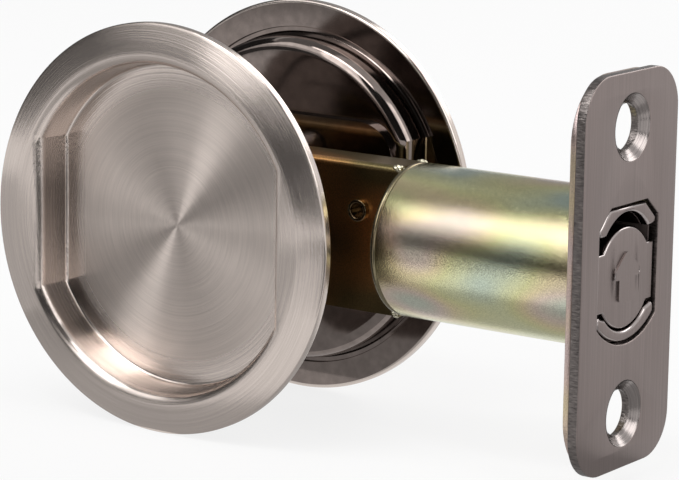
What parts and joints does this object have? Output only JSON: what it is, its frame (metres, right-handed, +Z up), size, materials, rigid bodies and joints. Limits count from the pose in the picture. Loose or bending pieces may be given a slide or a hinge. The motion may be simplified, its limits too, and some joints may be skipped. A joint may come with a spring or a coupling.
{
  "type": "pocket door lock",
  "caption": "Round flush pull set for a sliding pocket door, with a tubular edge unit whose face plate carries a lift-to-free finger pull.",
  "frame": {"origin": "where the axis of the two cups crosses the axis of the tube, at the middle of the door's thickness", "axes": "+X along the tube and out of the door's edge, -Y out of the front cup's recess, +Z up"},
  "size_m": [0.1008, 0.0402, 0.062],
  "materials": {
    "satin_nickel": "satin nickel plate, spun brushing",
    "dark_nickel": "glossy black nickel plate",
    "brushed_nickel": "dark nickel plate, brushed lengthwise",
    "zinc_dichromate": "yellow zinc dichromate, faintly iridescent",
    "bright_steel": "plain bright steel"
  },
  "bodies": {
    "lockset": {"front_cup": "satin_nickel", "rear_cup": "satin_nickel", "front_saddle": "dark_nickel", "rear_saddle": "dark_nickel", "upper_post": "bright_steel", "lower_post": "bright_steel", "upper_screw": "bright_steel", "lower_screw": "bright_steel", "latch_case": "zinc_dichromate", "case_base": "zinc_dichromate", "front_pin": "zinc_dichromate", "rear_pin": "zinc_dichromate", "catch_plate": "bright_steel", "tube_cap": "zinc_dichromate", "latch_tube": "zinc_dichromate", "back_plate": "zinc_dichromate", "face_plate": "brushed_nickel", "guide_insert": "brushed_nickel", "lift_spring": "bright_steel"},
    "lift": {"lift_block": "bright_steel"},
    "pull": {"edge_pull": "brushed_nickel", "pull_stem": "bright_steel", "stem_pin": "bright_steel", "stop_pin": "bright_steel", "pull_spring": "bright_steel"}
  },
  "joints": [
    {"name": "pull_lift", "type": "slide", "parent": "lockset", "child": "lift", "axis": [0, 0, 1], "range_m": [0, 0.0018], "stiffness_N_per_m": 600, "deforming": ["lift_spring"]},
    {"name": "pull_slide", "type": "slide", "parent": "lift", "child": "pull", "axis": [1, 0, 0], "range_m": [0, 0.0127]}
  ]
}
